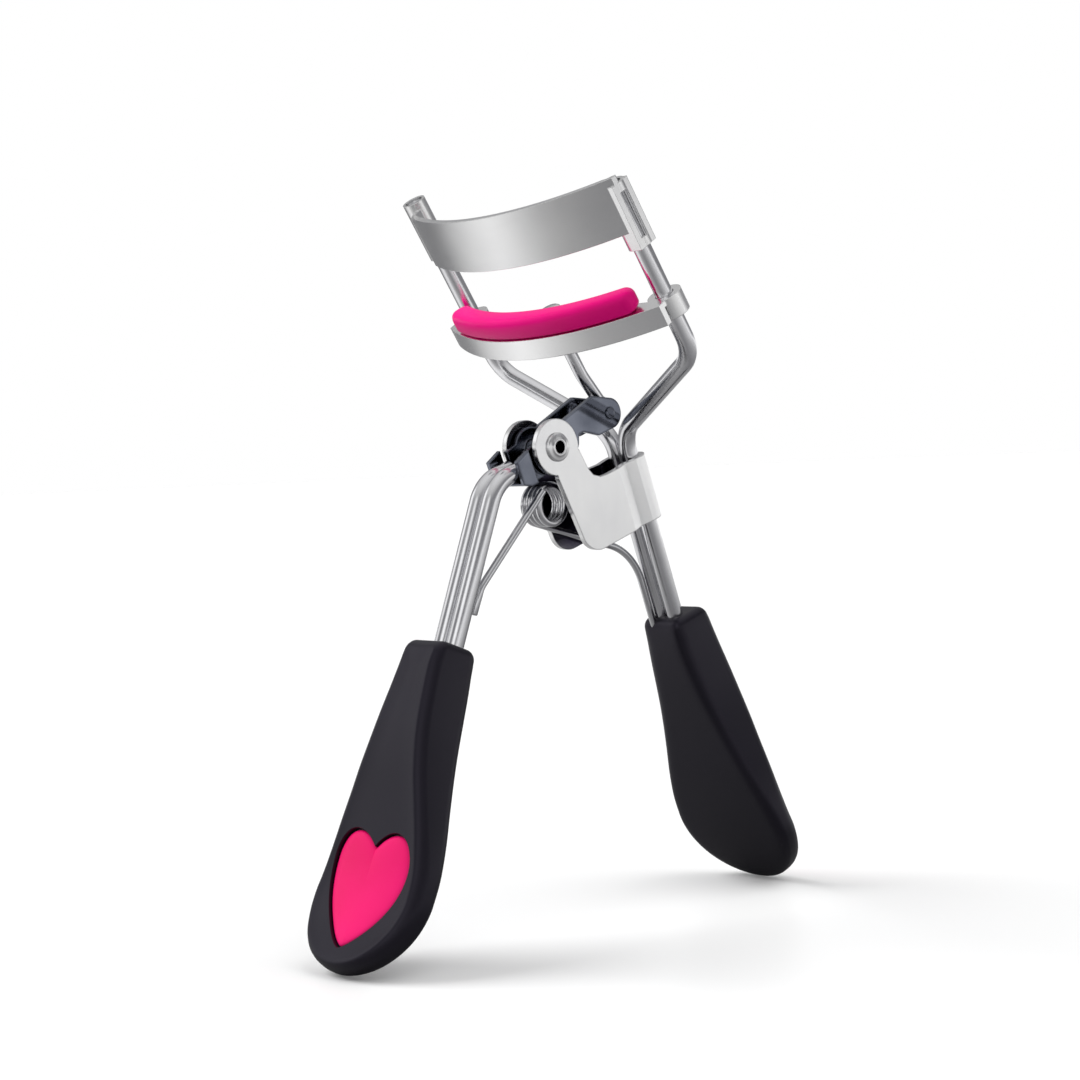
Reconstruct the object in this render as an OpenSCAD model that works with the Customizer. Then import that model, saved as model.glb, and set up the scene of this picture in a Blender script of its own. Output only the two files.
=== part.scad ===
// Eyelash curler with padded handle grips, standing open on the ends of its two grips.
// +X runs along the jaws, -Y is the side of the lever handle, +Z is up.
// Side views are drawn in Y and Z. Each bent wire is a chain of straight rods and true arcs.

/* [Stance] */
// Lean of the frame handle from upright, in degrees
frame_lean = 18.6; // [10:0.1:30]
// Lean of the lever handle from upright, in degrees
lever_lean = 21.4; // [10:0.1:30]
// Lean of the guide rods from upright, in degrees
guide_lean = 32.3; // [20:0.1:45]

/* [Wires] */
// Diameter of the frame and lever wires
wire_d = 2.3; // [1.8:0.1:3]
// Distance between the axes of two wires that run side by side
pair_pitch = 2.36; // [2.3:0.02:3]
// Bend radius of the frame wires, at the axis
frame_bend = 4.6; // [3:0.1:8]
// Bend radius of the lever wires, at the axis
lever_bend = 5.5; // [3:0.1:8]

/* [Guide rods] */
// Distance between the axes of the two guide rods
jaw_span = 36; // [30:0.5:42]
// Length of a guide rod, from its top to the corner of its bend
guide_length = 25; // [20:0.5:32]

/* [Upper jaw] */
// Height of the upper jaw plate
plate_h = 7.2; // [5:0.1:10]
// Thickness of the jaw sheet
jaw_sheet = 0.7; // [0.5:0.05:1]
// Length of the sleeve that holds each guide rod
sleeve_h = 8.6; // [6:0.1:10]
// Radius of the jaw curve, at the middle of the plate
jaw_radius = 35; // [25:1:60]
// How far the middle of the jaws stands ahead of the guide rods
jaw_reach = 6.6; // [4:0.1:10]

/* [Lower jaw] */
// Depth of the lower jaw below the top of the guide rods, when open
open_depth = 16.3; // [14:0.1:20]
// Height of the front wall of the lower jaw
wall_h = 2.8; // [2:0.1:4]
// Height of the silicone pad
pad_h = 2.9; // [2:0.1:4]
// Width of the silicone pad
pad_w = 3.2; // [2:0.1:4]

/* [Lever] */
// Distance from the pivot rivet to the link pin
arm_length = 11.3; // [8:0.1:15]
// Slope of the lever arm above level, in degrees
arm_slope = 21.4; // [10:0.1:35]
// Thickness of the lever sheet
lever_sheet = 0.6; // [0.5:0.05:1]
// Outer width of the lever channel
lever_w = 4.2; // [3.6:0.1:4.6]

/* [Bracket] */
// Thickness of the bracket sheet
bracket_sheet = 0.75; // [0.5:0.05:1]
// Gap between the two cheeks
cheek_gap = 4.9; // [4.6:0.1:6]
// Length of the collar along the frame wires
collar_h = 8.7; // [6:0.1:12]

/* [Spring] */
// Wire diameter of the return spring
spring_wire = 1; // [0.8:0.05:1.2]
// Mean radius of its coil
coil_r = 2.45; // [2:0.05:3]

/* [Grips] */
// Length of a grip
grip_length = 41.2; // [35:0.1:50]
// Width of a grip where the wires enter
grip_neck_w = 7.4; // [6:0.1:10]
// Radius of the round end of a grip
grip_end_r = 9.6; // [8:0.1:12]
// Depth of the heart shaped recess in a grip
recess_depth = 0.9; // [0.5:0.1:1.5]

/* [Hidden] */
$fn = 64;
wire_r = wire_d / 2;
half_pitch = pair_pitch / 2;
half_span = jaw_span / 2;

// Side view points, [y, z], with the object standing on its grips.
frame_entry = [12.65, 38.15];
lever_entry = [-25.94, 37.30];
guide_top = [-12.99, 93.15];
pivot = [-9.37, 61.19];
coil = [-8.83, 54.00];
stand = [7.545, -0.108];

// Unit directions in the side view.
function up(lean) = [-sin(lean), cos(lean)];
function out(lean) = [cos(lean), sin(lean)];
function at(p, dir, d) = [p[0] + dir[0] * d, p[1] + dir[1] * d];
function space(x, p) = [x, p[0], p[1]];

stem_up = up(frame_lean);
lever_up = up(-lever_lean);
guide_down = -up(guide_lean);
guide_corner = at(guide_top, guide_down, guide_length);
stem_corner = at(frame_entry, stem_up, 26);
link_pin_at = at(pivot, [cos(arm_slope), sin(arm_slope)], arm_length);
lever_corner = at(lever_entry, lever_up, 21.3);
lever_wire_end = [-13.39, 58.75];

pivot_r = 1.15;
pivot_bore = pivot_r + 0.05;
link_wire = 1.7;
link_pin_r = 0.7;
neck_r = 0.75;
slide_gap = 0.07;
fit_gap = 0.05;

// Vector helpers.
function unit(v) = v / norm(v);
function turn(p, q, r) = acos(unit(q - p) * unit(r - q));

// Straight rod from point a to point b.
module rod(a, b, r) {
    v = b - a;
    translate(a)
        rotate([0, acos(v[2] / norm(v)), atan2(v[1], v[0])])
            cylinder(r = r, h = norm(v));
}

// Arc that rounds the corner q between the runs p-q and q-s.
module bend(p, q, s, radius, r) {
    u = unit(q - p);
    w = unit(s - q);
    t = turn(p, q, s);
    side = unit(w - u * (u * w));
    start = q - u * radius * tan(t / 2);
    mid = start + side * radius;
    a = -side;
    n = cross(a, u);
    multmatrix([
        [a[0], u[0], n[0], mid[0]],
        [a[1], u[1], n[1], mid[1]],
        [a[2], u[2], n[2], mid[2]],
        [0, 0, 0, 1]])
        rotate_extrude(angle = t) translate([radius, 0]) circle(r = r - 0.005, $fn = 24);
}

// Wire through a list of points, each inner corner rounded to its own radius.
module wire(points, radii, r) {
    last = len(points) - 1;
    lap = 0.04;
    // Setback of each straight run from its corner, less a short lap over the arc
    back = [for (i = [0:last]) i == 0 || i == last ? 0
        : radii[i - 1] * tan(turn(points[i - 1], points[i], points[i + 1]) / 2) - lap];
    for (i = [0:last - 1]) {
        u = unit(points[i + 1] - points[i]);
        rod(points[i] + u * back[i], points[i + 1] - u * back[i + 1], r, $fn = 24);
    }
    for (i = [1:last - 1])
        bend(points[i - 1], points[i], points[i + 1], radii[i - 1], r);
}

// Places a child drawn upright, [x, forward, up], into the side view at a lean.
module leaning(p, lean) {
    translate([0, p[0], p[1]]) rotate([lean, 0, 0]) children();
}

// Side profile drawn as [y, z], made into a plate between x = from and x = to.
module side_plate(from, to) {
    translate([from, 0, 0])
        multmatrix([[0, 0, 1, 0], [1, 0, 0, 0], [0, 1, 0, 0], [0, 0, 0, 1]])
            linear_extrude(to - from) children();
}

// ---------- frame ----------

module frame_wire(side) {
    grip_end = at(frame_entry, stem_up, -24);
    wire([
        space(side * half_span, at(guide_top, guide_down, side > 0 ? 1.4 : -0.7)),
        space(side * half_span, guide_corner),
        space(side * half_pitch, stem_corner),
        space(side * half_pitch, grip_end)],
        [frame_bend, frame_bend], wire_r);
}

module frame_wire_right() {
    color("silver") frame_wire(1);
}

module frame_wire_left() {
    color("silver") frame_wire(-1);
}

// Flat ring sector that follows the jaw curve, drawn in [x, forward] with forward negative.
module jaw_arc(outer, inner, half_w) {
    intersection() {
        translate([0, jaw_radius - jaw_reach]) difference() {
            circle(r = jaw_radius + outer, $fn = 160);
            circle(r = jaw_radius + inner, $fn = 160);
        }
        translate([-half_w, -jaw_reach - 5]) square([2 * half_w, jaw_reach + 8]);
    }
}

// Curved plate between a round sleeve on the left rod and a flat sided one on the right rod.
// The flat side has a tall window. The left end of the plate is bent back to its sleeve.
module upper_jaw() {
    front = wire_r + 0.45;
    side_at = wire_r + 0.35;
    plate_end = half_span - 1.9;
    color("gainsboro") leaning(guide_top, guide_lean)
        difference() {
            union() {
                translate([0, 0, -plate_h + 0.2]) linear_extrude(plate_h) {
                    intersection() {
                        jaw_arc(jaw_sheet / 2, -jaw_sheet / 2, half_span + side_at);
                        translate([-plate_end, -20]) square([50, 30]);
                    }
                    polygon([[-plate_end, -3.1], [-plate_end, -2.4], [-half_span + 1.3, -0.4],
                        [-half_span + 0.6, -1]]);
                }
                translate([-half_span, 0, -plate_h + 0.2]) cylinder(r = front - 0.05, h = plate_h + 1);
                translate([half_span, 0, -0.8 - sleeve_h]) {
                    cylinder(r = front, h = sleeve_h);
                    translate([0, -front, 0]) cube([side_at, front + wire_r + 0.2, sleeve_h]);
                }
            }
            for (side = [-1, 1]) translate([side * half_span, 0, -sleeve_h - 2])
                cylinder(r = wire_r + 0.01, h = sleeve_h + 4);
            translate([half_span + 0.75, -0.75, 0.4 - sleeve_h]) cube([1.5, 1, sleeve_h - 2.4]);
        }
}

// Bracket profile in [m, a]: m towards the lever, a along the stem.
pivot_rel = pivot - frame_entry;
pivot_a = pivot_rel * stem_up;
pivot_m = -(pivot_rel * out(frame_lean));
collar_low = 13.9;

module bracket_profile() {
    top = collar_low + collar_h;
    ear = 3.6;
    translate([pivot_m, pivot_a]) circle(r = ear);
    translate([10.5, collar_low + 3]) circle(r = 3);
    polygon([
        [-4, collar_low], [10.5, collar_low], [13.5, collar_low + 3], [14.7, top + 2.4],
        [pivot_m + 1, pivot_a], [pivot_m - 2.2, pivot_a], [10.1, pivot_a - 1.6],
        [9.5, top + 1.9], [8.9, top + 0.8], [7.8, top + 0.15], [6.6, top], [-4, top]]);
}

// Half of the bracket section across the stem, in [x, m].
module bracket_half_section() {
    wrap = wire_r + bracket_sheet;
    inner = cheek_gap / 2;
    outer = inner + bracket_sheet;
    difference() {
        union() {
            translate([half_pitch, 0]) circle(r = wrap);
            translate([0, -wrap]) square([half_pitch, 2 * wrap]);
        }
        translate([half_pitch, 0]) circle(r = wire_r + 0.01);
        translate([-1, -wire_r - 0.01]) square([half_pitch + 1, 2 * wire_r + 0.02]);
        translate([-1, 0.9]) square([wrap + 2.5, 5]);
        translate([-1, -0.01]) square([half_pitch + 1 + wire_r, 4]);
    }
    polygon([
        [half_pitch + wrap, 0], [half_pitch + wrap, 0.9], [outer - 0.5, 2.7], [outer, 4.4],
        [outer, 19], [inner, 19], [inner, 4.6], [inner - 0.5, 2.8],
        [half_pitch + wire_r + 0.05, 1.0], [half_pitch + wire_r + 0.02, 0]]);
}

module bracket() {
    color("lightgray") leaning(frame_entry, frame_lean) difference() {
        intersection() {
            linear_extrude(40) mirror([0, 1]) for (side = [0, 1])
                mirror([side, 0]) bracket_half_section();
            mirror([0, 1, 0]) side_plate(-6, 6) bracket_profile();
        }
        translate([-6, -pivot_m, pivot_a]) rotate([0, 90, 0]) cylinder(r = pivot_r + 0.01, h = 12);
    }
}

// Hollow rivet: a tube through both cheeks with a rolled head on each side.
module pivot_rivet() {
    reach = cheek_gap / 2 + bracket_sheet;
    head = 0.55;
    color("silver") translate([0, pivot[0], pivot[1]]) rotate([0, 90, 0]) rotate_extrude()
        difference() {
            union() {
                translate([0, -reach - head]) square([pivot_r, 2 * (reach + head)]);
                for (side = [-1, 1]) translate([0, side * (reach + head / 2) - head / 2])
                    square([1.85, head]);
            }
            translate([-1, -reach - 2]) square([1.8, 2 * reach + 4]);
        }
}

// ---------- return spring ----------

module return_spring() {
    inner_line = at(frame_entry, -out(frame_lean), wire_r + spring_wire / 2 + fit_gap);
    drop = -15.5;
    rest_x = -half_pitch;
    low_start = at(coil, [sin(drop), -cos(drop)], coil_r);
    reach = (inner_line - low_start) * [-stem_up[1], stem_up[0]]
        / ([cos(drop), sin(drop)] * [-stem_up[1], stem_up[0]]);
    low_corner = at(low_start, [cos(drop), sin(drop)], reach);
    high_start = at(coil, [-sin(45), cos(45)], coil_r);
    lever_line = at(lever_entry, out(-lever_lean), wire_r + spring_wire / 2 + fit_gap);
    high_corner = at(lever_line, lever_up, 8.2);
    high_tip = at(lever_line, lever_up, 4.6);
    color("silver") {
        for (i = [-1.2, -0.4, 0.4, 1.2]) translate([i, coil[0], coil[1]]) rotate([0, 90, 0])
            rotate_extrude() translate([coil_r, 0]) circle(r = spring_wire / 2, $fn = 24);
        wire([space(rest_x, low_start), space(rest_x, low_corner),
            space(rest_x, at(inner_line, stem_up, -2.5))], [8], spring_wire / 2 - 0.01);
        wire([space(-rest_x, high_start), space(-rest_x, high_corner),
            space(-rest_x, high_tip)], [2.5], spring_wire / 2 - 0.01);
    }
}

// ---------- lever ----------

// Lever sheet profile about the pivot, in [u, v]: u along the arm, v above it.
module lever_profile() {
    difference() {
        union() {
            circle(r = 2.75);
            translate([arm_length, 0]) circle(r = 2);
            polygon([[-6.8, 0.9], [-6.8, -2.3], [-5.6, -2.9], [0.4, -2.72], [3.6, -2.6], [4.6, -1.5],
                [5.1, -0.4], [6, -0.4], [8.4, -1.9], [arm_length - 0.3, -1.98],
                [arm_length + 0.8, 1.83], [arm_length - 2, 3.2]]);
        }
        translate([-8, 3.2]) square([30, 5]);
    }
}

// Channel with a web below the pivot only; its two walls carry the link pin.
module lever_plate() {
    half = lever_w / 2;
    web_top = -2.06;
    color("slategray") translate([0, pivot[0], pivot[1]]) rotate([arm_slope, 0, 0]) difference() {
        union() {
            side_plate(-half, half) lever_profile();
            // Wider tail that holds both wires
            side_plate(-2.95, 2.95) polygon([[-6.8, 0.9], [-6.8, -2.3], [-5.6, -2.9],
                [-4.5, -2.9], [-4.5, 1.55]]);
        }
        // Open channel between the two walls
        translate([-half + lever_sheet, -4.3, web_top])
            cube([lever_w - 2 * lever_sheet, arm_length + 9, 8]);
        translate([-2.36, -8, web_top]) cube([4.72, 3.8, 8]);
        translate([-half + lever_sheet, 4.6, -4])
            cube([lever_w - 2 * lever_sheet, arm_length, 8]);
        translate([-6, 0, 0]) rotate([0, 90, 0]) cylinder(r = pivot_bore, h = 12);
        translate([-6, arm_length, 0]) rotate([0, 90, 0]) cylinder(r = link_pin_r, h = 12);
    }
}

module lever_wire(side) {
    wire([
        space(side * half_pitch, at(lever_entry, lever_up, -24)),
        space(side * half_pitch, lever_corner),
        space(side * half_pitch, lever_wire_end)],
        [lever_bend], wire_r);
}

module lever_wire_right() {
    color("silver") lever_wire(1);
}

module lever_wire_left() {
    color("silver") lever_wire(-1);
}

module link_pin() {
    color("silver") translate([0, link_pin_at[0], link_pin_at[1]]) rotate([0, 90, 0])
        translate([0, 0, -lever_w / 2 - 0.2]) cylinder(r = link_pin_r, h = lever_w + 0.4);
}

// ---------- link and lower jaw ----------

neck_reach = 2.6;
neck_at = at(at(guide_top, guide_down, open_depth), -out(guide_lean), neck_reach);

// Wire link: an eye on the link pin, a bent shank and a headed neck through the jaw.
module link() {
    eye_r = link_pin_r + fit_gap + link_wire / 2;
    shank_from = at(link_pin_at, [cos(80), sin(80)], eye_r);
    collar_at = at(neck_at, guide_down, 1.2);
    bend_at = at(neck_at, guide_down, 9);
    color("silver") {
        translate([0, link_pin_at[0], link_pin_at[1]]) rotate([0, 90, 0])
            rotate_extrude() translate([eye_r, 0]) circle(r = link_wire / 2, $fn = 24);
        wire([space(0, collar_at), space(0, bend_at), space(0, shank_from)], [8],
            link_wire / 2 - 0.03);
        leaning(neck_at, guide_lean) {
            translate([0, 0, -2]) cylinder(r = neck_r, h = 3.1);
            translate([0, 0, -1.8]) cylinder(r = 1.5, h = 0.7);
            translate([0, 0, 0.4]) cylinder(r = 1.6, h = 0.7);
        }
    }
}

// Crescent flange with a front wall and a slotted eye for each guide rod.
module lower_jaw() {
    eye_r = wire_r + slide_gap + jaw_sheet;
    half_w = half_span + 1.6;
    color("gainsboro") leaning(at(guide_top, guide_down, open_depth), guide_lean) difference() {
        union() {
            translate([0, 0, -jaw_sheet]) linear_extrude(jaw_sheet) intersection() {
                translate([0, jaw_radius - jaw_reach]) circle(r = jaw_radius + 2.1, $fn = 160);
                translate([-half_w, -jaw_reach - 5]) square([2 * half_w, jaw_reach + 3.2]);
            }
            translate([0, 0, -wall_h]) linear_extrude(wall_h)
                jaw_arc(2.1, 2.1 - jaw_sheet, half_w);
            // Tab behind the flange for the neck of the link
            translate([0, -neck_reach, -jaw_sheet]) cylinder(r = 2.4, h = jaw_sheet);
            for (side = [-1, 1]) translate([side * half_span, 0, -wall_h])
                cylinder(r = eye_r + 0.3, h = wall_h);
        }
        for (side = [-1, 1]) translate([side * half_span, 0, -wall_h - 1])
            cylinder(r = wire_r + slide_gap, h = wall_h + 2);
        translate([0, -neck_reach, -3]) cylinder(r = neck_r + 0.65, h = 6);
    }
}

module lash_pad() {
    half_w = half_span - 1.8;
    color("deeppink") leaning(at(guide_top, guide_down, open_depth), guide_lean) {
        linear_extrude(pad_h) jaw_arc(pad_w / 2, -pad_w / 2, half_w);
    }
}

// ---------- grips ----------

// Full heart with a rounded tip towards +Y: w is its half width, h half its height.
function heart_x(t) = sign(sin(t)) * pow(abs(sin(t)), cos(t) > 0 ? 2.1 : 1.4);
function heart_y(t) = (3.2 * cos(2 * t) + 1.2 * cos(3 * t) + 0.6 * cos(4 * t) - 11.5 * cos(t) - 2.2) / 12;
function heart_outline(w, h) = [for (t = [0:10:350]) [w * heart_x(t), h * heart_y(t)]];

heart_at = 31;

module grip_plan() {
    end_at = grip_length - grip_end_r;
    translate([0, end_at]) circle(r = grip_end_r, $fn = 96);
    polygon(concat(
        [[-grip_neck_w / 2, 0], [grip_neck_w / 2, 0]],
        [[3.9, 4], [4.35, 8], [5.05, 12], [6, 16], [7.1, 20], [8.25, 24], [9.2, 28], [grip_end_r, end_at]],
        [[-grip_end_r, end_at], [-9.2, 28], [-8.25, 24], [-7.1, 20], [-6, 16], [-5.05, 12], [-4.35, 8],
            [-3.9, 4]]));
}

// Side outline in [o, s]: o outwards from the wires, s down the grip.
module grip_side() {
    polygon([[-1.7, 0], [3.6, 0], [4.3, 0.9], [4.7, 6], [4.9, 11], [4.7, 16], [4.3, 19.5], [3.85, 23.5],
        [3.5, 28], [3.75, 31.5], [4.4, 34.8], [5.2, 37.4], [5.8, 39.4], [5.5, 41.2], [3.2, 41.2],
        [2, 39.2], [1.2, 37], [0.4, 34], [-0.35, 30], [-1, 25], [-1.4, 20], [-1.8, 15], [-2.2, 10],
        [-2.4, 5], [-2.2, 1]]);
}

// Heart shaped block that reaches through the outer half of a grip.
module heart_prism(w, h) {
    translate([0, 1, heart_at]) rotate([-90, 0, 0])
        mirror([0, 1]) linear_extrude(7) polygon(heart_outline(w, h));
}

// Everything below a face that runs at the given depth under the outer face of the grip.
module under_face(depth) {
    translate([0, -depth, 0]) side_plate(-12, 12) grip_side();
}

// Grip with its wires entering at the origin, running to +Z, outer face towards +Y.
module grip() {
    difference() {
        intersection() {
            side_plate(-12, 12) grip_side();
            translate([0, 12, 0]) rotate([90, 0, 0]) linear_extrude(24) grip_plan();
        }
        for (side = [-1, 1]) translate([side * half_pitch, 0, -1])
            cylinder(r = wire_r + 0.01, h = 25);
        difference() {
            heart_prism(7.1, 7.35);
            under_face(recess_depth);
        }
    }
}

// Inlay that fills the recess to a little below the face of the grip.
module heart() {
    difference() {
        intersection() {
            heart_prism(6.98, 7.23);
            under_face(0.2);
        }
        under_face(recess_depth - 0.01);
    }
}

// Stands a grip drawn down +Z on a handle: the entry point, its lean and its outer side.
module on_frame() {
    leaning(frame_entry, frame_lean) mirror([0, 0, 1]) children();
}

module on_lever() {
    leaning(lever_entry, -lever_lean) mirror([0, 0, 1]) mirror([0, 1, 0]) children();
}

module frame_grip() {
    color("#1c1c20") difference() {
        on_frame() grip();
        // Bore for the spring leg beside the wires
        inner_line = at(frame_entry, -out(frame_lean), wire_r + spring_wire / 2 + fit_gap);
        rod(space(-half_pitch, at(inner_line, stem_up, -2.6)), space(-half_pitch, at(inner_line, stem_up, 2)),
            spring_wire / 2 + 0.02, $fn = 24);
    }
}

module frame_heart() {
    color("hotpink") on_frame() heart();
}

module lever_grip() {
    color("#1c1c20") on_lever() grip();
}

module lever_heart() {
    color("hotpink") on_lever() heart();
}

// ---------- assembly ----------

translate([0, stand[0], stand[1]]) {
    frame_wire_right();
    frame_wire_left();
    upper_jaw();
    bracket();
    pivot_rivet();
    return_spring();
    frame_grip();
    frame_heart();
    lever_plate();
    lever_wire_right();
    lever_wire_left();
    link_pin();
    lever_grip();
    lever_heart();
    link();
    lower_jaw();
    lash_pad();
}
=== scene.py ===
import math
import bmesh
import bpy
from mathutils import Matrix, Vector


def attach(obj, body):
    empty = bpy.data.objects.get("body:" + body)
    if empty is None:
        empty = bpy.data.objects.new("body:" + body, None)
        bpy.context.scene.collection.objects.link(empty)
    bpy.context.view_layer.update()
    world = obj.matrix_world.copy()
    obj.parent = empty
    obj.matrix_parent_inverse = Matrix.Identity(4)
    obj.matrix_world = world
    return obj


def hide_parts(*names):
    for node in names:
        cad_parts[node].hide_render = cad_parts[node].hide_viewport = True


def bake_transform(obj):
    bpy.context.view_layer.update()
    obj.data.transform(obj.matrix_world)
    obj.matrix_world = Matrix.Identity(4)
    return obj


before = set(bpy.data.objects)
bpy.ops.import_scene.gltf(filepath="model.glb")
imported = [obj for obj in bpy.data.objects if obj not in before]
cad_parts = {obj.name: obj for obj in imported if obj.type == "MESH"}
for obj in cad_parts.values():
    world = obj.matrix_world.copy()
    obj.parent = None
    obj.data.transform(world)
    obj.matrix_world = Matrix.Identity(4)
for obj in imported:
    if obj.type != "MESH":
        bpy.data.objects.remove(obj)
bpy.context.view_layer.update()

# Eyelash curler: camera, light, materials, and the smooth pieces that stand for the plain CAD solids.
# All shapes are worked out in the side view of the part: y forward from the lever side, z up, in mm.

MM = 0.001


# ---------- helpers ----------

def unit(v):
    return v.normalized()


def polar(deg):
    """Unit direction in the side view, from +Y towards +Z."""
    return Vector((0, math.cos(math.radians(deg)), math.sin(math.radians(deg))))


def smooth_curve(pairs, t):
    """Value at t of a soft curve through (t, value) pairs."""
    if t <= pairs[0][0]:
        return pairs[0][1]
    for i in range(len(pairs) - 1):
        (a, va), (b, vb) = pairs[i], pairs[i + 1]
        if t <= b:
            before = pairs[max(i - 1, 0)]
            after = pairs[min(i + 2, len(pairs) - 1)]
            ma = (vb - before[1]) / (b - before[0])
            mb = (after[1] - va) / (after[0] - a)
            u, w = (t - a) / (b - a), b - a
            return (va * (2 * u ** 3 - 3 * u ** 2 + 1) + vb * (3 * u ** 2 - 2 * u ** 3)
                    + w * ma * (u ** 3 - 2 * u ** 2 + u) + w * mb * (u ** 3 - u ** 2))
    return pairs[-1][1]


def shade_smooth(mesh, sharp=None):
    """Smooth shading all over. Edges that turn more than `sharp` degrees stay crisp."""
    for p in mesh.polygons:
        p.use_smooth = True
    if sharp is not None:
        mesh.set_sharp_from_angle(angle=math.radians(sharp))


def new_mesh(name, verts, faces, material, sharp=None):
    """A piece from points in mm."""
    mesh = bpy.data.meshes.new(name)
    mesh.from_pydata([tuple(Vector(v) * MM) for v in verts], [], faces)
    mesh.validate()
    mesh.update()
    obj = bpy.data.objects.new(name, mesh)
    bpy.context.collection.objects.link(obj)
    mesh.materials.append(material)
    shade_smooth(mesh, sharp)
    return obj


def mend(obj, weld=None):
    """Point the faces outwards. Points nearer than `weld`, in metres, are joined first."""
    bm = bmesh.new()
    bm.from_mesh(obj.data)
    if weld:
        bmesh.ops.remove_doubles(bm, verts=bm.verts, dist=weld)
        bmesh.ops.dissolve_degenerate(bm, edges=bm.edges, dist=weld / 4)
    bmesh.ops.recalc_face_normals(bm, faces=bm.faces)
    bm.to_mesh(obj.data)
    bm.free()


def skin(rings, around):
    """Faces between neighbouring rings of points."""
    out = []
    for i in range(rings - 1):
        for k in range(around):
            a, b = i * around + k, i * around + (k + 1) % around
            out.append((a, b, b + around, a + around))
    return out


def end_faces(rings, around):
    """The faces that close the first and the last ring."""
    return [tuple(reversed(range(around))), tuple((rings - 1) * around + k for k in range(around))]


def rounded_path(points, radii):
    """Points along a bent wire, each inner corner rounded to its own radius."""
    step = 0.25
    out = [points[0]]
    for i in range(1, len(points) - 1):
        p, q, s = points[i - 1], points[i], points[i + 1]
        u, w = unit(q - p), unit(s - q)
        turn = math.acos(max(-1, min(1, u.dot(w))))
        r = radii[i - 1]
        back = r * math.tan(turn / 2)
        side = unit(w - u * u.dot(w))
        start = q - u * back
        middle = start + side * r
        steps = max(4, int(turn * r / step))
        for k in range(steps + 1):
            a = turn * k / steps
            out.append(middle + (u * math.sin(a) - side * math.cos(a)) * r)
    out.append(points[-1])
    return out


def wire(name, path, radius, material, around):
    """A round wire along a path, its two ends rounded over."""
    first, last = unit(path[1] - path[0]), unit(path[-1] - path[-2])
    edge = radius * 0.45
    turns = [math.pi / 2 * k / 5 for k in range(1, 6)]
    rounding = [(edge * (1 - math.sin(a)), radius - edge * (1 - math.cos(a))) for a in turns]
    curve = [(path[0] + first * back, r) for back, r in reversed(rounding)]
    curve += [(p, radius) for p in path[1:-1]]
    curve += [(path[-1] - last * back, r) for back, r in rounding]
    verts = []
    normal = first.orthogonal().normalized()
    for i, (p, r) in enumerate(curve):
        a = curve[max(i - 1, 0)][0]
        b = curve[min(i + 1, len(curve) - 1)][0]
        along = unit(b - a) if (b - a).length > 1e-9 else first
        normal = unit(normal - along * normal.dot(along))
        other = along.cross(normal)
        for k in range(around):
            t = 2 * math.pi * k / around
            verts.append(p + normal * r * math.cos(t) + other * r * math.sin(t))
    faces = skin(len(curve), around) + end_faces(len(curve), around)
    return new_mesh(name, verts, faces, material, sharp=50)


def turned(name, profile, origin, axis, material, around=40):
    """A turned piece from (radius, height) pairs. Its ends are closed unless it is a ring."""
    side = axis.orthogonal().normalized()
    other = axis.cross(side)
    verts = []
    for r, h in profile:
        for k in range(around):
            t = 2 * math.pi * k / around
            verts.append(origin + axis * h + (side * math.cos(t) + other * math.sin(t)) * r)
    faces = skin(len(profile), around)
    if profile[0][0] != profile[-1][0]:
        faces += end_faces(len(profile), around)
    return new_mesh(name, verts, faces, material, sharp=40)


# ---------- materials ----------

def nodes_of(name):
    mat = bpy.data.materials.new(name)
    mat.use_nodes = True
    tree = mat.node_tree
    return mat, tree, tree.nodes["Principled BSDF"]


def noise(tree, scale, stretch, detail, rough):
    coord = tree.nodes.new("ShaderNodeTexCoord")
    mapping = tree.nodes.new("ShaderNodeMapping")
    mapping.inputs["Scale"].default_value = stretch
    tex = tree.nodes.new("ShaderNodeTexNoise")
    tex.inputs["Scale"].default_value = scale
    tex.inputs["Detail"].default_value = detail
    tex.inputs["Roughness"].default_value = rough
    tree.links.new(coord.outputs["Object"], mapping.inputs["Vector"])
    tree.links.new(mapping.outputs["Vector"], tex.inputs["Vector"])
    return tex.outputs["Fac"]


def between(tree, value, low, high, a, b):
    """A number that runs from a to b as value runs from low to high."""
    node = tree.nodes.new("ShaderNodeMapRange")
    node.inputs["From Min"].default_value = low
    node.inputs["From Max"].default_value = high
    node.inputs["To Min"].default_value = a
    node.inputs["To Max"].default_value = b
    tree.links.new(value, node.inputs["Value"])
    return node.outputs["Result"]


def tones(tree, value, stops):
    ramp = tree.nodes.new("ShaderNodeValToRGB")
    ramp.color_ramp.elements[0].position, ramp.color_ramp.elements[0].color = stops[0]
    ramp.color_ramp.elements[1].position, ramp.color_ramp.elements[1].color = stops[-1]
    for place, colour in stops[1:-1]:
        ramp.color_ramp.elements.new(place).color = colour
    tree.links.new(value, ramp.inputs["Fac"])
    return ramp.outputs["Color"]


def bumps(tree, shader, height, distance, strength, edge=None):
    bump = tree.nodes.new("ShaderNodeBump")
    bump.inputs["Strength"].default_value = strength
    bump.inputs["Distance"].default_value = distance
    tree.links.new(height, bump.inputs["Height"])
    if edge:
        bevel = tree.nodes.new("ShaderNodeBevel")
        bevel.samples = 6
        bevel.inputs["Radius"].default_value = edge
        tree.links.new(bevel.outputs["Normal"], bump.inputs["Normal"])
    tree.links.new(bump.outputs["Normal"], shader.inputs["Normal"])


def uneven(tree, shader, fine, cloud, rough):
    """Roughness from the fine grain, between the first two values, plus the clouds, up to the third."""
    total = tree.nodes.new("ShaderNodeMath")
    total.operation = "ADD"
    tree.links.new(between(tree, fine, 0.3, 0.7, rough[0], rough[1]), total.inputs[0])
    tree.links.new(between(tree, cloud, 0.35, 0.75, 0.0, rough[2]), total.inputs[1])
    tree.links.new(total.outputs[0], shader.inputs["Roughness"])


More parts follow.
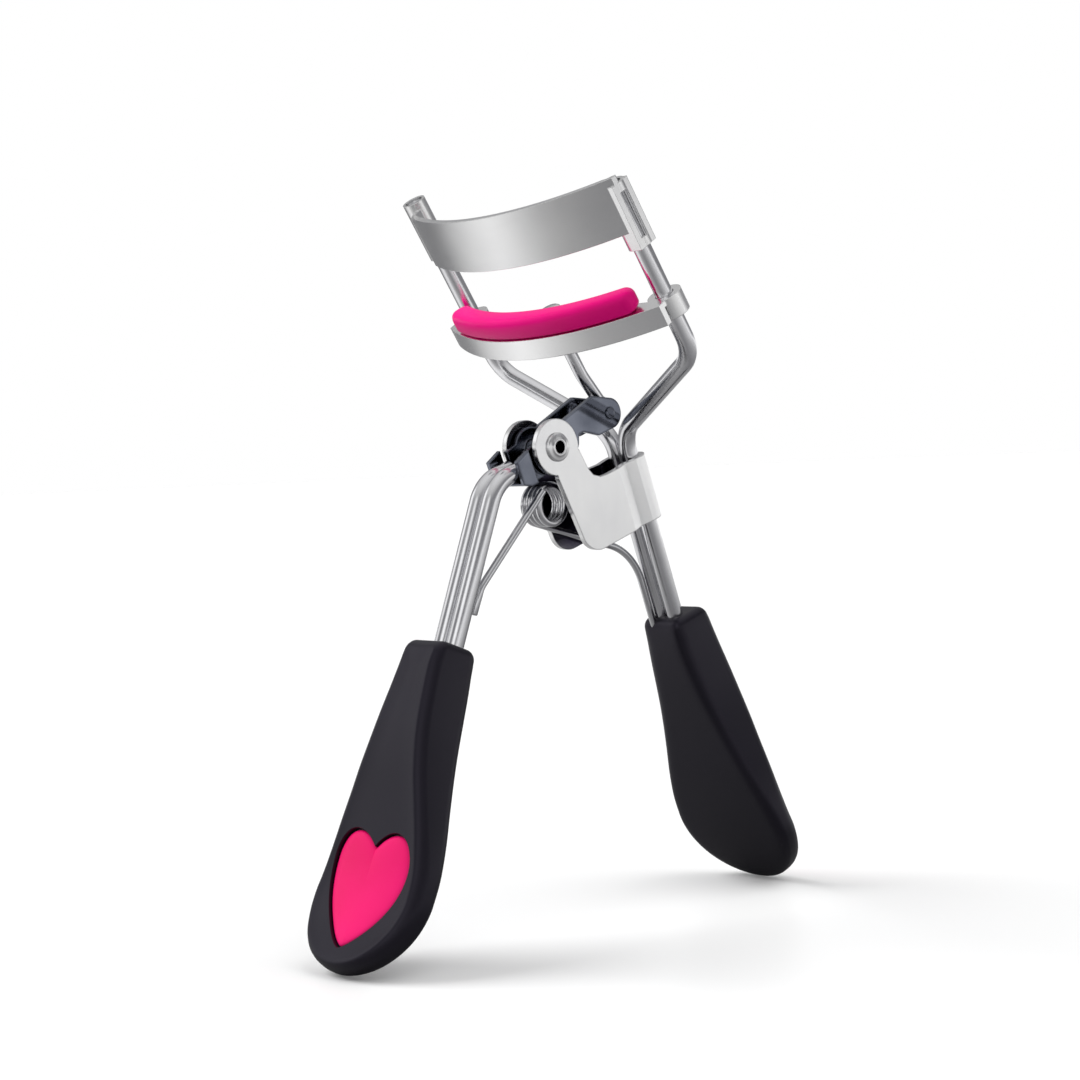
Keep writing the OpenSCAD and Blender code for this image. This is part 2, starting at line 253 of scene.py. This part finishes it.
def blended(tree, mode, a, b):
    """Two colours put together in full by a blend mode."""
    mix = tree.nodes.new("ShaderNodeMix")
    mix.data_type = "RGBA"
    mix.blend_type = mode
    mix.inputs["Factor"].default_value = 1.0
    tree.links.new(a, mix.inputs["A"])
    tree.links.new(b, mix.inputs["B"])
    return mix.outputs["Result"]


def metal(name, dark, light, rough, stretch, grain, depth, edge=None, folds=None):
    """Metal with a drawn grain and a cloudy polish.

    `edge` is the width of its softened edges, `folds` how far from a fold the painted shade reaches.
    """
    mat, tree, shader = nodes_of(name)
    shader.inputs["Metallic"].default_value = 1.0
    lines = noise(tree, grain, stretch, 6.0, 0.6)
    cloud = noise(tree, 160.0, (1, 1, 1), 3.0, 0.5)
    colour = tones(tree, cloud, [(0.3, (*dark, 1)), (0.7, (*light, 1))])
    if folds:
        # Painted shade: the colour darkens to a violet black inside the folds, by ambient occlusion
        near = tree.nodes.new("ShaderNodeAmbientOcclusion")
        near.samples = 12
        near.only_local = True
        near.inputs["Distance"].default_value = folds
        painted_fold_shade = tones(tree, near.outputs["AO"],
                        [(0.76, (0.04, 0.035, 0.06, 1)), (0.98, (1, 1, 1, 1))])
        colour = blended(tree, "MULTIPLY", colour, painted_fold_shade)
    tree.links.new(colour, shader.inputs["Base Color"])
    uneven(tree, shader, lines, cloud, rough)
    bumps(tree, shader, lines, depth, 0.5, edge)
    return mat


def plastic(name, dark, light, rough, grain, depth, shine):
    """Moulded plastic or silicone with a fine matt grain. `shine` is its specular level."""
    mat, tree, shader = nodes_of(name)
    fine = noise(tree, grain, (1, 1, 1), 5.0, 0.6)
    cloud = noise(tree, 90.0, (1, 1, 1), 3.0, 0.5)
    colour = tones(tree, cloud, [(0.3, (*dark, 1)), (0.7, (*light, 1))])
    tree.links.new(colour, shader.inputs["Base Color"])
    shader.inputs["Specular IOR Level"].default_value = shine
    uneven(tree, shader, fine, cloud, rough)
    bumps(tree, shader, fine, depth, 0.4)
    return mat


# Roughness is (least, most, what the clouds add). Depth, edge and folds are in metres; folds is the
# reach of the painted shade in the folds.
chrome = metal("chrome_wire", (0.68, 0.68, 0.70), (0.77, 0.77, 0.79), (0.13, 0.18, 0.05),
               (1, 1, 1), 900.0, 0.000002)
spring_steel = metal("spring_wire", (0.60, 0.60, 0.62), (0.70, 0.70, 0.72), (0.14, 0.2, 0.06),
                     (1, 1, 1), 1200.0, 0.000002)
satin = metal("satin_jaw", (0.76, 0.76, 0.765), (0.82, 0.82, 0.82), (0.2, 0.24, 0.03),
              (0.04, 1, 1), 1600.0, 0.000001, 0.00012)
satin_light = metal("satin_light", (0.84, 0.84, 0.845), (0.90, 0.90, 0.90), (0.2, 0.24, 0.03),
                    (0.05, 1, 1), 1600.0, 0.000001, 0.00015)
bracket_steel = metal("bracket_steel", (0.78, 0.78, 0.79), (0.86, 0.86, 0.86), (0.2, 0.23, 0.04),
                      (1, 0.5, 0.08), 1800.0, 0.000001, 0.0002, 0.009)
# Chrome for the lever plate and link pin, its colour darkened to a blue grey: painted shade and painted
# dark reflection of its enclosed inside
chrome_painted_dark = metal("chrome_painted_dark", (0.11, 0.12, 0.15), (0.22, 0.235, 0.28), (0.08, 0.13, 0.05),
                    (1, 1, 1), 700.0, 0.000004, 0.0004, 0.003)
grip_black = plastic("soft_touch_black", (0.0016, 0.0013, 0.0036), (0.0034, 0.0028, 0.0062),
                     (0.32, 0.4, 0.06), 5200.0, 0.000004, 0.4)
grip_shader = grip_black.node_tree.nodes["Principled BSDF"]
grip_shader.inputs["Specular Tint"].default_value = (0.86, 0.80, 1.0, 1)
heart_pink = plastic("heart_pink", (0.78, 0.002, 0.12), (0.86, 0.006, 0.16),
                     (0.34, 0.46, 0.08), 4200.0, 0.000012, 0.24)
silicone = plastic("magenta_silicone", (0.86, 0.0, 0.21), (0.94, 0.0, 0.25),
                   (0.32, 0.38, 0.04), 2400.0, 0.000004, 0.16)


def dress(node, material):
    """Give a CAD solid its material."""
    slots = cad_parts[node].data.materials
    if len(slots) == 0:
        slots.append(material)
    for i in range(len(slots)):
        slots[i] = material


dress("upper_jaw", satin)
dress("lower_jaw", satin_light)
dress("bracket", bracket_steel)
dress("lever_plate", chrome_painted_dark)
dress("link_pin", chrome_painted_dark)

# ---------- the side view, as in the part ----------

STAND = Vector((0, 7.545, -0.108))


def spot(y, z):
    return Vector((0, y, z)) + STAND


FRAME_LEAN, LEVER_LEAN, GUIDE_LEAN = 18.6, 21.4, 32.3
frame_entry, lever_entry = spot(12.65, 38.15), spot(-25.94, 37.30)
guide_top, pivot = spot(-12.99, 93.15), spot(-9.37, 61.19)
coil = spot(-8.83, 54.00)
stem_up, stem_out = polar(90 + FRAME_LEAN), polar(FRAME_LEAN)
lever_up, lever_out = polar(90 - LEVER_LEAN), polar(-LEVER_LEAN)
guide_down, guide_fore = -polar(90 + GUIDE_LEAN), -polar(GUIDE_LEAN)
stem_corner = frame_entry + stem_up * 26
lever_corner = lever_entry + lever_up * 21.3
link_pin_at = pivot + polar(21.4) * 11.3
WIRE_R, HALF_PITCH, HALF_SPAN = 1.15, 1.18, 18.0
FRAME_BEND, LEVER_BEND = 4.6, 5.5
IN_GRIP = 24                               # how far the wires run into a grip
ROD_TOPS = {"right": 1.4, "left": -0.7}    # depth of each rod's top below guide_top


def beside(x, p):
    return Vector((x, 0, 0)) + p


# ---------- wires ----------

for side, name in ((1, "right"), (-1, "left")):
    path = rounded_path([
        beside(side * HALF_SPAN, guide_top + guide_down * ROD_TOPS[name]),
        beside(side * HALF_SPAN, guide_top + guide_down * 25),
        beside(side * HALF_PITCH, stem_corner),
        beside(side * HALF_PITCH, frame_entry - stem_up * IN_GRIP)], [FRAME_BEND, FRAME_BEND])
    piece = wire("guide_wire_" + name, path, WIRE_R, chrome, 32)
    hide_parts("frame_wire_" + name)
    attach(piece, "frame")

    path = rounded_path([
        beside(side * HALF_PITCH, lever_entry - lever_up * IN_GRIP),
        beside(side * HALF_PITCH, lever_corner),
        beside(side * HALF_PITCH, spot(-13.39, 58.75))], [LEVER_BEND])
    piece = wire("handle_wire_" + name, path, WIRE_R, chrome, 32)
    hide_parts("lever_wire_" + name)
    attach(piece, "lever")

# Return spring: one wire, a frame leg, a close wound coil and a lever leg.
SPRING_R, COIL_R = 0.48, 2.45
COIL_LEFT, COIL_RIGHT = -1.55, 1.45
FULL_TURNS, STEPS_A_TURN = 3.0, 40
LEG_DROP = -15.5         # slope of the frame leg
LEG_LEAVES = 135         # where round the coil the lever leg starts
LEG_OFF = WIRE_R + 0.55  # how far each leg runs beside its handle wires
FRAME_LEG_X = -1.45
frame_line = frame_entry - stem_out * LEG_OFF
lever_line = lever_entry + lever_out * LEG_OFF
low_turn = LEG_DROP - 90
low = coil + polar(low_turn) * COIL_R
reach = (frame_line - low).cross(stem_up).x / polar(LEG_DROP).cross(stem_up).x
low_corner = low + polar(LEG_DROP) * reach
high_corner = lever_line + lever_up * 8.2
high_tip = lever_line + lever_up * 4.6
path = rounded_path([
    beside(FRAME_LEG_X, frame_line - stem_up * 2.5),
    beside(FRAME_LEG_X, low_corner),
    beside(COIL_LEFT, low)], [8])[:-1]
turns = FULL_TURNS + (low_turn - LEG_LEAVES) % 360 / 360
steps = int(turns * STEPS_A_TURN)
for k in range(steps + 1):
    at = low_turn - turns * 360 * k / steps
    path.append(beside(COIL_LEFT + (COIL_RIGHT - COIL_LEFT) * k / steps, coil + polar(at) * COIL_R))
path += rounded_path([path[-1], beside(1.3, high_corner), beside(1.18, high_tip)], [2.5])[1:]
spring = wire("torsion_spring", path, SPRING_R, spring_steel, 14)
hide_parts("return_spring")
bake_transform(spring)

# Link: a headed neck, a shank, and a hook that curls round the link pin.
OPEN_DEPTH = 16.3    # the lower jaw at rest, down the guide rods from their top
LINK_R, EYE_R = 0.83, 1.6
HOOK_FROM, HOOK_TURN, HOOK_STEPS = 80, 310, 40
HOOK_SHIFT = 0.25    # how far the hook's end passes beside its shank
NECK_FORE = 2.6      # the neck, ahead of the guide rods
# Radius and height along the neck: two collars either side of the bar, and the rounded head
NECK = [(0.75, -2), (0.75, -1.8), (1.4, -1.8), (1.5, -1.7), (1.5, -1.2), (1.4, -1.1), (0.75, -1.1),
        (0.75, 0.4), (1.5, 0.4), (1.6, 0.5), (1.55, 0.8), (1.3, 1.0), (0.8, 1.08), (0.05, 1.1)]
lower_jaw_at = guide_top + guide_down * OPEN_DEPTH
neck = lower_jaw_at + guide_fore * NECK_FORE
path = rounded_path([neck + guide_down * 0.2, neck + guide_down * 9,
                     link_pin_at + polar(HOOK_FROM) * EYE_R], [8])
for k in range(1, HOOK_STEPS + 1):
    share = k / HOOK_STEPS
    from_pin = polar(HOOK_FROM - HOOK_TURN * share) * EYE_R
    path.append(beside(HOOK_SHIFT * share, link_pin_at + from_pin))
link = wire("link_wire", path, LINK_R, chrome, 24)
neck_piece = turned("link_neck", NECK, neck, -guide_down, chrome)
for piece in (link, neck_piece):
    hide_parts("link")
    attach(piece, "link_rod")

# Hollow rivet: its two heads are rolled outwards round the hole.
RIVET_HALF, RIVET_HOLE_R = 3.75, 0.8
ROLLED_LIP = [(0.86, 0.0), (1.0, 0.06), (1.12, 0.03), (1.2, -0.08), (1.32, -0.14), (1.62, -0.18),
              (1.76, -0.24), (1.84, -0.36), (1.84, -0.54), (1.1, -0.55)]
profile = [(RIVET_HOLE_R, -RIVET_HALF)]
profile += [(r, -(RIVET_HALF + h)) for r, h in ROLLED_LIP]
profile += [(r, RIVET_HALF + h) for r, h in reversed(ROLLED_LIP)]
profile += [(RIVET_HOLE_R, RIVET_HALF), (RIVET_HOLE_R, -RIVET_HALF + 0.001)]
rivet = turned("hollow_rivet", profile, pivot, Vector((1, 0, 0)), bracket_steel, 56)
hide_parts("pivot_rivet")
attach(rivet, "frame")

# ---------- silicone pad ----------

JAW_R, JAW_REACH = 35.0, 6.6
PAD_HALF_LENGTH, PAD_HALF_W, PAD_HALF_H = 16.3, 1.6, 1.45
PAD_FORE, PAD_RISE = 0.4, 1.46    # its middle ahead of the jaw's curve, and above the jaw's flange
PAD_END = 1.5                     # how far from its ends it starts to round off
SIDES, UNDER, DOME = 0.6, 0.25, 0.8    # how round its section is, 1 being an ellipse and 0 a box


def on_jaw(x, fore, rise):
    """A point of the lower jaw: across, ahead of the guide rods and up along them."""
    return beside(x, lower_jaw_at) + guide_fore * fore - guide_down * rise


def pad():
    """The pad follows the curve of the jaw; its section is full below and softly domed above."""
    half_angle = math.asin(PAD_HALF_LENGTH / JAW_R)
    along, around = 72, 28
    verts = []
    for i in range(along + 1):
        u = math.sin((-1 + 2 * i / along) * math.pi / 2)
        a = half_angle * u
        from_end = (1 - abs(u)) * half_angle * JAW_R
        swell = max(math.sqrt(max(0.0, 1 - max(0.0, 1 - from_end / PAD_END) ** 2)), 0.02)
        for k in range(around):
            t = 2 * math.pi * k / around
            c, s = math.cos(t), math.sin(t)
            w = PAD_HALF_W * math.copysign(abs(c) ** SIDES, c)
            h = PAD_HALF_H * math.copysign(abs(s) ** (UNDER if s < 0 else DOME), s)
            r = JAW_R + PAD_FORE + w * swell
            verts.append(on_jaw(r * math.sin(a), r * math.cos(a) - (JAW_R - JAW_REACH),
                                PAD_RISE + h * (0.35 + 0.65 * swell)))
    faces = skin(along + 1, around) + end_faces(along + 1, around)
    return new_mesh("silicone_pad", verts, faces, silicone)


piece = pad()
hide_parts("lash_pad")
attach(piece, "jaw")

# ---------- grips and hearts ----------

# Along the grip, in mm from its neck: half width, outer face and inner face
GRIP_L, END_R, END_AT = 41.2, 9.6, 31.6
WIDTHS = [(0, 3.45), (4, 3.8), (8, 4.35), (12, 5.05), (16, 6.0), (20, 7.1), (24, 8.25), (28, 9.2),
          (END_AT, END_R)]
OUTER = [(0, 3.95), (2, 4.4), (6, 4.7), (11, 4.9), (16, 4.7), (19.5, 4.3), (23.5, 3.85), (28, 3.5),
         (31.5, 3.75), (34.8, 4.4), (37.4, 5.2), (39.4, 5.75), (GRIP_L, 5.9)]
INNER = [(0, -2.2), (5, -2.4), (10, -2.2), (15, -1.8), (20, -1.4), (25, -1.0), (30, -0.35), (34, 0.4),
         (37, 1.2), (39.2, 2.0), (GRIP_L, 2.9)]
NECK_FLAT, NECK_ROUND = 2.45, 1.05    # half width of the flat neck, and the radius of its corners
HEART_AT = 31.0
HEART_SIZE, RECESS_SIZE = (6.88, 7.12), (7.05, 7.3)    # half width and half height
HEART_SINK, HEART_DOME = 0.1, 0.04    # level its edge is measured from, and its top over the grip
MEDIAL_FROM = 4.0    # the inset rings shrink towards the grip's middle line, which starts here
# Insets from the outline and the drop of the outer face there: a soft side, then a crisp ridge
RIDGE = [(0.0, 1.9), (0.02, 1.55), (0.1, 1.15), (0.28, 0.75), (0.5, 0.45), (0.75, 0.22), (0.95, 0.07),
         (1.1, 0.015), (1.25, 0.0), (1.5, 0.02), (1.9, 0.06), (2.6, 0.1)]
# Insets and the rise of the inner face, rounded all the way
BACK = [(0.0, 1.5), (0.03, 1.15), (0.12, 0.85), (0.3, 0.55), (0.55, 0.32), (0.9, 0.14), (1.3, 0.04),
        (1.8, 0.0), (2.6, 0.0)]
BACK_TIGHTER = 0.9
FILL = (0.25, 0.5, 0.75, 1.0)    # rings that fill a face from its last inset to the middle line


def plan_outline():
    """The grip from its outer side: (x, s, medial s) round its right half, from the neck to the tip."""
    half = [(x, 0.0, MEDIAL_FROM) for x in (0.0, 0.9, 1.8, 2.4)]
    for k in range(1, 7):
        a = math.pi / 2 * k / 6
        half.append((NECK_FLAT + NECK_ROUND * math.sin(a), NECK_ROUND * (1 - math.cos(a)),
                     MEDIAL_FROM))
    s, step = 1.8, 0.85
    while s < END_AT:
        half.append((smooth_curve(WIDTHS, s), s, max(s, MEDIAL_FROM)))
        s += step
    for k in range(1, 25):
        a = math.pi / 2 * k / 24
        half.append((END_R * math.cos(a), END_AT + END_R * math.sin(a), END_AT))
    return half


def past(s, start, run):
    """0 before `start`, 1 once s is `run` further on."""
    return min(1, max(0, (s - start) / run))


def grip_mesh(name, place):
    """A grip from rings of points: inner face, side and outer face, each ring inset from the outline."""
    half = plan_outline()
    outline = half + [(-x, s, m) for x, s, m in reversed(half[1:-1])]
    verts = []

    def ring(inset, share, height):
        for x, s, m in outline:
            keep = (1 - inset / math.hypot(x, s - m)) * (1 - share)
            px, ps = x * keep, m + (s - m) * keep
            verts.append(place(px, height(ps), ps))

    def outer_level(drop):
        """The edge of the outer face gets deeper towards the tip."""
        return lambda s: smooth_curve(OUTER, s) - drop * (0.72 + 0.5 * past(s, 22, 14))

    def inner_level(rise):
        """The edge of the inner face gets shallower towards the tip."""
        return lambda s: smooth_curve(INNER, s) + rise * (1 - 0.45 * past(s, 26, 14))

    rings = [(BACK[-1][0] * BACK_TIGHTER, share, inner_level(0.0)) for share in reversed(FILL)]
    rings += [(inset * BACK_TIGHTER, 0, inner_level(rise)) for inset, rise in reversed(BACK)]
    rings += [(inset, 0, outer_level(drop)) for inset, drop in RIDGE]
    rings += [(RIDGE[-1][0], share, outer_level(0.13)) for share in FILL]
    for inset, share, height in rings:
        ring(inset, share, height)
    obj = new_mesh(name, verts, skin(len(rings), len(outline)), grip_black)
    mend(obj, weld=0.00002)
    shade_smooth(obj.data)
    return obj


def heart_points(w, h):
    """A full heart with a rounded tip, from its centre: w is its half width, h half its height."""
    out = []
    count = 96
    for k in range(count):
        t = 2 * math.pi * k / count
        x = math.copysign(abs(math.sin(t)) ** (2.1 if math.cos(t) > 0 else 1.4), math.sin(t))
        y = (3.2 * math.cos(2 * t) + 1.2 * math.cos(3 * t) + 0.6 * math.cos(4 * t)
             - 11.5 * math.cos(t) - 2.2)
        out.append((w * x, h * y / 12))
    return out


def under_outer(s, depth):
    """Height of the outer face at s, less a depth."""
    return smooth_curve(OUTER, min(s, GRIP_L)) - depth


def heart_cutter(place):
    """A solid that cuts the recess of the heart: its floor follows the outer face of the grip."""
    outline = heart_points(*RECESS_SIZE)
    count = len(outline)
    # Size and depth under the outer face: floor, wall, and a top that stands clear of the grip
    levels = [(1.0, 0.85), (1.0, 0.2), (1.05, -0.6)]
    verts = []
    for size, depth in levels:
        verts += [place(x * size, under_outer(HEART_AT + s * size, depth), HEART_AT + s * size)
                  for x, s in outline]
    faces = skin(len(levels), count)
    for level in (0, len(levels) - 1):
        size, depth = levels[level]
        edge = [level * count + k for k in range(count)]
        for share in (0.75, 0.5, 0.25):
            row = []
            for x, s in outline:
                k = share * size
                row.append(len(verts))
                verts.append(place(x * k, under_outer(HEART_AT + s * k, depth), HEART_AT + s * k))
            faces += [(edge[k], edge[(k + 1) % count], row[(k + 1) % count], row[k])
                      for k in range(count)]
            edge = row
        centre = len(verts)
        verts.append(place(0, under_outer(HEART_AT, depth), HEART_AT))
        faces += [(edge[k], edge[(k + 1) % count], centre) for k in range(count)]
    obj = new_mesh("heart_cutter", verts, faces, grip_black)
    mend(obj)
    return obj


def heart_mesh(name, place):
    """The heart inlay: a soft edge and a low dome that follow the outer face of the grip."""
    outline = heart_points(*HEART_SIZE)
    count = len(outline)
    # Share of the outline, and height over the level it is measured from
    rows = [(1.0, -0.82), (1.0, -0.62), (0.995, -0.5), (0.98, -0.38), (0.955, -0.28), (0.92, -0.2),
            (0.85, -0.11), (0.75, -0.03), (0.6, 0.05), (0.45, 0.1), (0.3, 0.13), (0.15, 0.14)]
    verts = []
    for share, height in rows:
        for x, s in outline:
            at = HEART_AT + s * share
            verts.append(place(x * share, smooth_curve(OUTER, at) - HEART_SINK + height, at))
    faces = skin(len(rows), count)
    centre = len(verts)
    verts.append(place(0, smooth_curve(OUTER, HEART_AT) + HEART_DOME, HEART_AT))
    last = (len(rows) - 1) * count
    faces += [(last + k, last + (k + 1) % count, centre) for k in range(count)]
    faces.append(tuple(reversed(range(count))))
    obj = new_mesh(name, verts, faces, heart_pink)
    mend(obj)
    return obj


def cut(obj, tool):
    """Take the tool out of a piece, then delete the tool."""
    change = obj.modifiers.new("cut", "BOOLEAN")
    change.operation = "DIFFERENCE"
    change.solver = "EXACT"
    change.object = tool
    view = bpy.context.evaluated_depsgraph_get()
    mesh = bpy.data.meshes.new_from_object(obj.evaluated_get(view))
    obj.modifiers.clear()
    obj.data = mesh
    bpy.data.objects.remove(tool)
    shade_smooth(mesh, sharp=38)


def on_frame(x, o, s):
    """A point of the frame grip: across, outwards from its axis and down from its neck."""
    return beside(x, frame_entry) + stem_out * o - stem_up * s


def on_lever(x, o, s):
    """The same for the lever grip."""
    return beside(x, lever_entry) - lever_out * o - lever_up * s


for body, place in (("frame", on_frame), ("lever", on_lever)):
    grip = grip_mesh(body + "_handle_grip", place)
    cut(grip, heart_cutter(place))
    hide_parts(body + "_grip")
    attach(grip, body)
    heart = heart_mesh(body + "_heart_inlay", place)
    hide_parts(body + "_heart")
    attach(heart, body)

# ---------- stage ----------

def by_ray(tree, kind, plain, other):
    """`plain` for rays of one kind, `other` for the rest. Both are a colour or a socket."""
    light = tree.nodes.new("ShaderNodeLightPath")
    pick = tree.nodes.new("ShaderNodeMix")
    pick.data_type = "RGBA"
    for name, value in (("A", other), ("B", plain)):
        if isinstance(value, tuple):
            pick.inputs[name].default_value = value
        else:
            tree.links.new(value, pick.inputs[name])
    tree.links.new(light.outputs[kind], pick.inputs["Factor"])
    return pick.outputs["Result"]


mat, tree, shader = nodes_of("floor")
coord = tree.nodes.new("ShaderNodeTexCoord")
across = tree.nodes.new("ShaderNodeVectorMath")
across.operation = "DOT_PRODUCT"
across.inputs[1].default_value = (1.0, 0.3, 0)
tree.links.new(coord.outputs["Object"], across.inputs[0])
# Dark and light areas of the floor, which only show in reflections
cards = tones(tree, between(tree, across.outputs["Value"], -0.5, 0.5, 0, 1), [
    (0.0, (0.1, 0.1, 0.105, 1)), (0.2, (0.14, 0.14, 0.145, 1)), (0.385, (0.78, 0.78, 0.78, 1)),
    (0.46, (0.3, 0.3, 0.3, 1)), (0.54, (0.16, 0.16, 0.165, 1)), (0.75, (0.45, 0.45, 0.45, 1)),
    (1.0, (0.6, 0.6, 0.6, 1))])
tree.links.new(by_ray(tree, "Is Camera Ray", (0.93, 0.93, 0.93, 1), cards), shader.inputs["Base Color"])
shader.inputs["Roughness"].default_value = 0.35
FLOOR_R, FLOOR_GAP = 6, 0.0001
bpy.ops.mesh.primitive_circle_add(vertices=96, radius=FLOOR_R, fill_type="NGON",
                                  location=(0, 0, -FLOOR_GAP))
floor = bpy.context.object
floor.name = "floor"
floor.data.materials.append(mat)

world = bpy.data.worlds.new("studio")
world.use_nodes = True
bpy.context.scene.world = world
tree = world.node_tree
coord = tree.nodes.new("ShaderNodeTexCoord")
split = tree.nodes.new("ShaderNodeSeparateXYZ")
tree.links.new(coord.outputs["Generated"], split.inputs["Vector"])
# The room by height, for reflections: white low down, dark above it, lighter overhead
sky = tones(tree, split.outputs["Z"], [
    (0.0, (1.1, 1.1, 1.1, 1)), (0.1, (1.0, 1.0, 1.0, 1)), (0.2, (0.24, 0.24, 0.25, 1)),
    (0.42, (0.26, 0.26, 0.27, 1)), (0.7, (0.6, 0.6, 0.6, 1)), (1.0, (0.85, 0.85, 0.85, 1))])
# Two soft boxes, also for reflections only: which way they lie, and where they start and are full
BOX_GLOW = 1.25
for way, start, full in (((-0.72, -0.50, 0.48), 0.88, 0.99), ((0.36, -0.86, 0.36), 0.90, 0.99)):
    toward = tree.nodes.new("ShaderNodeVectorMath")
    toward.operation = "DOT_PRODUCT"
    toward.inputs[1].default_value = way
    tree.links.new(coord.outputs["Generated"], toward.inputs[0])
    box = tones(tree, between(tree, toward.outputs["Value"], start, full, 0, 1),
                [(0.0, (0, 0, 0, 1)), (1.0, (BOX_GLOW, BOX_GLOW, BOX_GLOW, 1))])
    sky = blended(tree, "LIGHTEN", sky, box)
room = by_ray(tree, "Is Glossy Ray", sky, (0.55, 0.55, 0.55, 1))
seen = by_ray(tree, "Is Camera Ray", (1, 1, 1, 1), room)
backdrop = tree.nodes["Background"]
tree.links.new(seen, backdrop.inputs["Color"])
backdrop.inputs["Strength"].default_value = 1.0


def soft_sun(name, place, strength, spread):
    """Light from one side that reaches the whole floor alike and shows in no reflection."""
    data = bpy.data.lights.new(name, "SUN")
    data.energy = strength
    data.angle = math.radians(spread)
    obj = bpy.data.objects.new(name, data)
    bpy.context.collection.objects.link(obj)
    obj.location = place
    obj.rotation_euler = Vector(place).to_track_quat("Z", "Y").to_euler()
    obj.visible_glossy = False


soft_sun("key", (-0.68, -0.5, 0.75), 2.5, 40)
soft_sun("fill", (0.6, 0.3, 1.0), 1.1, 60)

# ---------- camera ----------

CAMERA_AT = (0.20726, -0.19081, 0.06074)
camera = bpy.data.cameras.new("camera")
camera.sensor_width = 36
camera.lens = 73.52
camera.shift_x, camera.shift_y = -0.0081, 0.0025
camera.clip_start, camera.clip_end = 0.01, 50
eye_point = bpy.data.objects.new("camera", camera)
bpy.context.collection.objects.link(eye_point)
azimuth, elevation, roll = math.radians(47.52), math.radians(2.40), math.radians(-2.34)
back = Vector((math.sin(azimuth) * math.cos(elevation), -math.cos(azimuth) * math.cos(elevation),
               math.sin(elevation)))
right = Vector((math.cos(azimuth), math.sin(azimuth), 0))
up = back.cross(right)
turned_right = right * math.cos(roll) + up * math.sin(roll)
turned_up = up * math.cos(roll) - right * math.sin(roll)
eye_point.matrix_world = Matrix((
    (turned_right.x, turned_up.x, back.x, CAMERA_AT[0]),
    (turned_right.y, turned_up.y, back.y, CAMERA_AT[1]),
    (turned_right.z, turned_up.z, back.z, CAMERA_AT[2]),
    (0, 0, 0, 1)))
bpy.context.scene.camera = eye_point
bpy.context.scene.view_settings.view_transform = "Standard"

bpy.context.view_layer.update()
